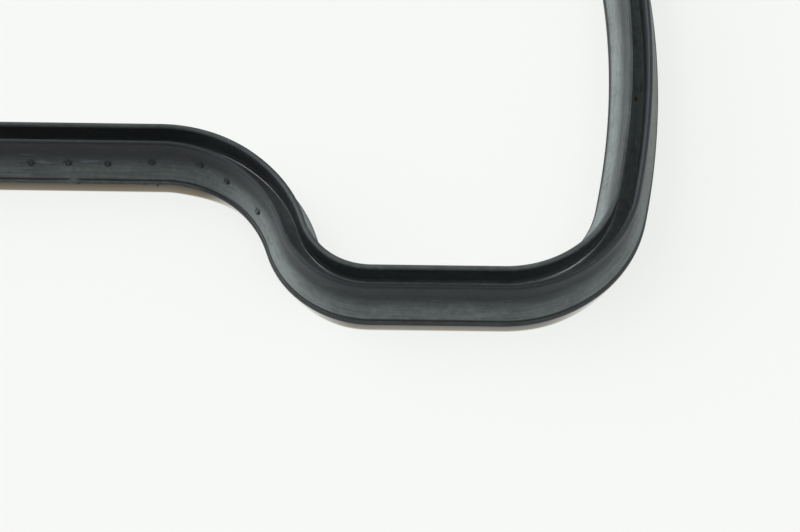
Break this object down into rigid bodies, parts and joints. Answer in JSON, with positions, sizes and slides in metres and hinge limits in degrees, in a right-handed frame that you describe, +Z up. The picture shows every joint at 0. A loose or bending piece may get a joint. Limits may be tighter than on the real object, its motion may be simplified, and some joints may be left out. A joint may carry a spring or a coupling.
{
  "type": "valve cover gasket",
  "caption": "Moulded black rubber loop with an open channel on a flared foot, stepped out at one end, that seals a valve cover to a cylinder head.",
  "frame": {"origin": "middle of the loop's bounding box on the plane that the foot rests on", "axes": "+X along the loop towards its stepped-out, bowed end, +Y towards its straight long side, +Z up out of the open channel"},
  "size_m": [0.404, 0.1394, 0.0105],
  "materials": {
    "black_rubber": "black moulded rubber, satin, with slight sheen on the flared faces"
  },
  "bodies": {
    "root": {"cover_gasket": "black_rubber"}
  },
  "joints": []
}
